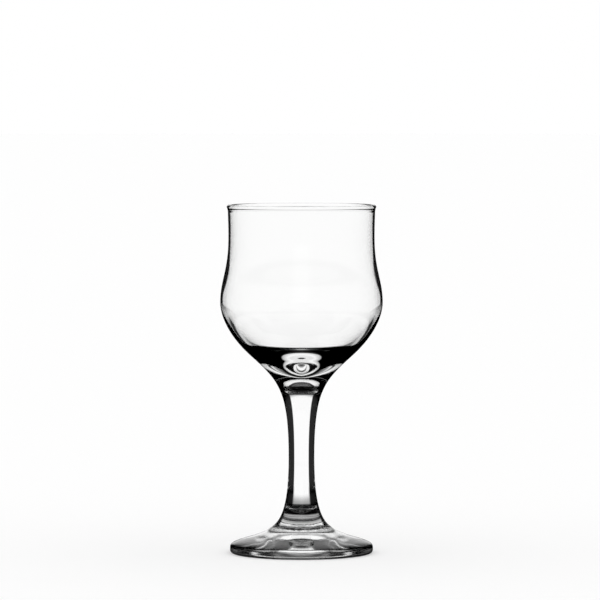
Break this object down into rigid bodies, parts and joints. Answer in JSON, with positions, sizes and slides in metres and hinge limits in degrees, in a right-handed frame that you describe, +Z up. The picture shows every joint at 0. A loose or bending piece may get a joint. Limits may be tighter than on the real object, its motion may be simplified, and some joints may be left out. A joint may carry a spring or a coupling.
{
  "type": "sherry glass",
  "caption": "Small clear stemmed drinking glass: bulged bowl drawn in at the waist, rounded lip, solid flared stem and a low round foot.",
  "frame": {"origin": "centre of the flat ring that the glass stands on, at the level of the table", "axes": "+Z up along the axis of the bowl, stem and foot; the glass is round, so X and Y are free"},
  "size_m": [0.0632, 0.0632, 0.1357],
  "materials": {
    "bowl_glass": "clear polished soda-lime glass, thin wall with a thick floor",
    "stem_glass": "clear polished soda-lime glass, solid",
    "foot_glass": "clear polished soda-lime glass, solid"
  },
  "bodies": {
    "root": {"bowl": "bowl_glass", "stem": "stem_glass", "foot": "foot_glass"}
  },
  "joints": []
}
